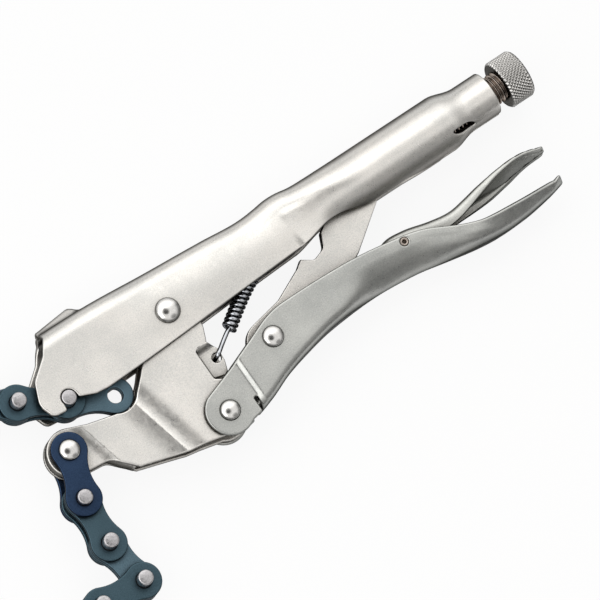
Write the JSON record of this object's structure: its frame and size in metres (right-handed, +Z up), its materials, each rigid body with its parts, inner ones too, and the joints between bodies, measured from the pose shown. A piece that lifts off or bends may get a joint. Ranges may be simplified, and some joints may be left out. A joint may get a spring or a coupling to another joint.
{
  "type": "locking chain clamp",
  "caption": "Hand clamp with a toggle-locking handle pair and a leaf chain that loops round a pipe and drops over a hook at the nose.",
  "frame": {"origin": "middle of the tool's footprint, on the surface that its rivet heads rest on as it lies flat", "axes": "+X along the fixed handle to the adjusting knob, +Y from the lower handle to the fixed handle, +Z up out of the side that faces the viewer"},
  "size_m": [0.3858, 0.1552, 0.0234],
  "materials": {
    "nickel": "satin nickel plate",
    "nickel_bright": "nickel plate",
    "rivet_steel": "bright",
    "screw_steel": "oiled steel",
    "spring_steel": "dark wire",
    "chain_plate": "blued",
    "anchor_link": "blued",
    "chain_pin": "ground steel"
  },
  "bodies": {
    "fixed_handle": {"fixed_handle": "nickel", "jaw_rivet": "rivet_steel", "return_spring": "spring_steel"},
    "screw_shank": {"screw_shank": "screw_steel"},
    "screw_knob": {"screw_knob": "nickel_bright"},
    "jaw": {"jaw": "nickel", "chain_anchor_rivet": "rivet_steel"},
    "lower_handle": {"lower_handle": "nickel", "handle_rivet": "rivet_steel", "link_rivet": "rivet_steel", "link_spacers": "rivet_steel", "lever_pin": "screw_steel"},
    "toggle_link": {"toggle_link": "nickel"},
    "release_lever": {"release_lever": "nickel"},
    "link_01": {"chain_link_01": "anchor_link", "link_pins_01": "chain_pin"},
    "link_02": {"chain_link_02": "chain_plate", "link_pins_02": "chain_pin"},
    "link_03": {"chain_link_03": "chain_plate"},
    "link_04": {"chain_link_04": "chain_plate", "link_pins_04": "chain_pin"},
    "link_05": {"chain_link_05": "chain_plate"},
    "link_06": {"chain_link_06": "chain_plate", "link_pins_06": "chain_pin"},
    "link_07": {"chain_link_07": "chain_plate"},
    "link_08": {"chain_link_08": "chain_plate", "link_pins_08": "chain_pin"},
    "link_09": {"chain_link_09": "chain_plate"},
    "link_10": {"chain_link_10": "chain_plate", "link_pins_10": "chain_pin"},
    "link_11": {"chain_link_11": "chain_plate"},
    "link_12": {"chain_link_12": "chain_plate", "link_pins_12": "chain_pin"},
    "link_13": {"chain_link_13": "chain_plate"},
    "link_24": {"chain_link_24": "chain_plate", "link_pins_24": "chain_pin"},
    "link_25": {"chain_link_25": "chain_plate"},
    "link_23": {"chain_link_23": "chain_plate"},
    "link_22": {"chain_link_22": "chain_plate", "link_pins_22": "chain_pin"},
    "link_21": {"chain_link_21": "chain_plate"},
    "link_20": {"chain_link_20": "chain_plate", "link_pins_20": "chain_pin"},
    "link_19": {"chain_link_19": "chain_plate"},
    "link_18": {"chain_link_18": "chain_plate", "link_pins_18": "chain_pin"},
    "link_17": {"chain_link_17": "chain_plate"},
    "link_16": {"chain_link_16": "chain_plate", "link_pins_16": "chain_pin"},
    "link_15": {"chain_link_15": "chain_plate"},
    "link_14": {"chain_link_14": "chain_plate", "link_pins_14": "chain_pin"}
  },
  "joints": [
    {"name": "screw_travel", "type": "slide", "parent": "fixed_handle", "child": "screw_shank", "axis": [1, 0, 0], "range_m": [0, 0.01088]},
    {"name": "knob_spin", "type": "hinge", "parent": "screw_shank", "child": "screw_knob", "pos_m": [0.18795, 0.03449, 0.0117], "axis": [1, 0, 0], "range_deg": [0, 2160]},
    {"name": "jaw_pivot", "type": "hinge", "parent": "fixed_handle", "child": "jaw", "pos_m": [0.02295, 0.03159, 0.0117], "axis": [0, 0, 1], "range_deg": [0, 14], "deforming": ["return_spring"]},
    {"name": "handle_pivot", "type": "hinge", "parent": "jaw", "child": "lower_handle", "pos_m": [0.02065, -0.0127, 0.0117], "axis": [0, 0, -1], "range_deg": [0, 50]},
    {"name": "link_pivot", "type": "hinge", "parent": "lower_handle", "child": "toggle_link", "pos_m": [0.05065, 0.0015, 0.0117], "axis": [0, 0, 1], "range_deg": [0, 54]},
    {"name": "lever_pivot", "type": "hinge", "parent": "lower_handle", "child": "release_lever", "pos_m": [0.11425, 0.00409, 0.0117], "axis": [0, 0, -1], "range_deg": [0, 9]},
    {"name": "chain_01", "type": "hinge", "parent": "jaw", "child": "link_01", "pos_m": [-0.03905, 0.0083, 0.0117], "axis": [0, 0, 1], "range_deg": [-1.56, 20]},
    {"name": "chain_02", "type": "hinge", "parent": "link_01", "child": "link_02", "pos_m": [-0.04494, -0.00982, 0.0117], "axis": [0, 0, -1], "range_deg": [-20, 1.62]},
    {"name": "chain_03", "type": "hinge", "parent": "link_02", "child": "link_03", "pos_m": [-0.04627, -0.02883, 0.0117], "axis": [0, 0, 1], "range_deg": [-1.6, 20]},
    {"name": "chain_04", "type": "hinge", "parent": "link_03", "child": "link_04", "pos_m": [-0.04362, -0.04769, 0.0117], "axis": [0, 0, -1], "range_deg": [-20, 1.52]},
    {"name": "chain_05", "type": "hinge", "parent": "link_04", "child": "link_05", "pos_m": [-0.06266, -0.04703, 0.0117], "axis": [0, 0, 1], "range_deg": [-1.73, 20]},
    {"name": "chain_06", "type": "hinge", "parent": "link_05", "child": "link_06", "pos_m": [-0.07717, -0.05937, 0.0117], "axis": [0, 0, -1], "range_deg": [-20, 1.84]},
    {"name": "chain_07", "type": "hinge", "parent": "link_06", "child": "link_07", "pos_m": [-0.09445, -0.06739, 0.0117], "axis": [0, 0, 1], "range_deg": [-2, 20]},
    {"name": "chain_08", "type": "hinge", "parent": "link_07", "child": "link_08", "pos_m": [-0.11324, -0.0705, 0.0117], "axis": [0, 0, -1], "range_deg": [-20, 2.24]},
    {"name": "chain_09", "type": "hinge", "parent": "link_08", "child": "link_09", "pos_m": [-0.13218, -0.06846, 0.0117], "axis": [0, 0, 1], "range_deg": [-2.59, 20]},
    {"name": "chain_10", "type": "hinge", "parent": "link_09", "child": "link_10", "pos_m": [-0.14989, -0.06144, 0.0117], "axis": [0, 0, -1], "range_deg": [-20, 3.15]},
    {"name": "chain_11", "type": "hinge", "parent": "link_10", "child": "link_11", "pos_m": [-0.16508, -0.04995, 0.0117], "axis": [0, 0, 1], "range_deg": [-4.11, 20]},
    {"name": "chain_12", "type": "hinge", "parent": "link_11", "child": "link_12", "pos_m": [-0.17664, -0.03481, 0.0117], "axis": [0, 0, -1], "range_deg": [-20, 6.07]},
    {"name": "chain_13", "type": "hinge", "parent": "link_12", "child": "link_13", "pos_m": [-0.18374, -0.01713, 0.0117], "axis": [0, 0, 1], "range_deg": [-12.03, 20]},
    {"name": "chain_24", "type": "hinge", "parent": "fixed_handle", "child": "link_24", "pos_m": [-0.02795, 0.0247, 0.0117], "axis": [0, 0, 1], "range_deg": [-20, 1.44]},
    {"name": "chain_25", "type": "hinge", "parent": "link_24", "child": "link_25", "pos_m": [-0.02795, 0.0247, 0.0117], "axis": [0, 0, 1], "range_deg": [-12, 12]},
    {"name": "chain_23", "type": "hinge", "parent": "link_24", "child": "link_23", "pos_m": [-0.04445, 0.03422, 0.0117], "axis": [0, 0, -1], "range_deg": [-1.58, 20]},
    {"name": "chain_22", "type": "hinge", "parent": "link_23", "child": "link_22", "pos_m": [-0.06043, 0.0446, 0.0117], "axis": [0, 0, 1], "range_deg": [-20, 1.73]},
    {"name": "chain_21", "type": "hinge", "parent": "link_22", "child": "link_21", "pos_m": [-0.07432, 0.05763, 0.0117], "axis": [0, 0, -1], "range_deg": [-1.84, 20]},
    {"name": "chain_20", "type": "hinge", "parent": "link_21", "child": "link_20", "pos_m": [-0.09119, 0.06648, 0.0117], "axis": [0, 0, 1], "range_deg": [-20, 2]},
    {"name": "chain_19", "type": "hinge", "parent": "link_20", "child": "link_19", "pos_m": [-0.10981, 0.0705, 0.0117], "axis": [0, 0, -1], "range_deg": [-2.24, 20]},
    {"name": "chain_18", "type": "hinge", "parent": "link_19", "child": "link_18", "pos_m": [-0.12883, 0.06939, 0.0117], "axis": [0, 0, 1], "range_deg": [-20, 2.59]},
    {"name": "chain_17", "type": "hinge", "parent": "link_18", "child": "link_17", "pos_m": [-0.14686, 0.06324, 0.0117], "axis": [0, 0, -1], "range_deg": [-3.15, 20]},
    {"name": "chain_16", "type": "hinge", "parent": "link_17", "child": "link_16", "pos_m": [-0.16259, 0.05249, 0.0117], "axis": [0, 0, 1], "range_deg": [-20, 4.11]},
    {"name": "chain_15", "type": "hinge", "parent": "link_16", "child": "link_15", "pos_m": [-0.17487, 0.03793, 0.0117], "axis": [0, 0, -1], "range_deg": [-6.07, 20]},
    {"name": "chain_14", "type": "hinge", "parent": "link_15", "child": "link_14", "pos_m": [-0.18282, 0.02062, 0.0117], "axis": [0, 0, 1], "range_deg": [-20, 12.03]}
  ],
  "couplings": [
    {"joint": "knob_spin", "follows": "screw_travel", "rad_per_m": 3463.7},
    {"joint": "jaw_pivot", "follows": "handle_pivot", "ratio": 0.27},
    {"joint": "link_pivot", "follows": "handle_pivot", "ratio": 1.066}
  ]
}
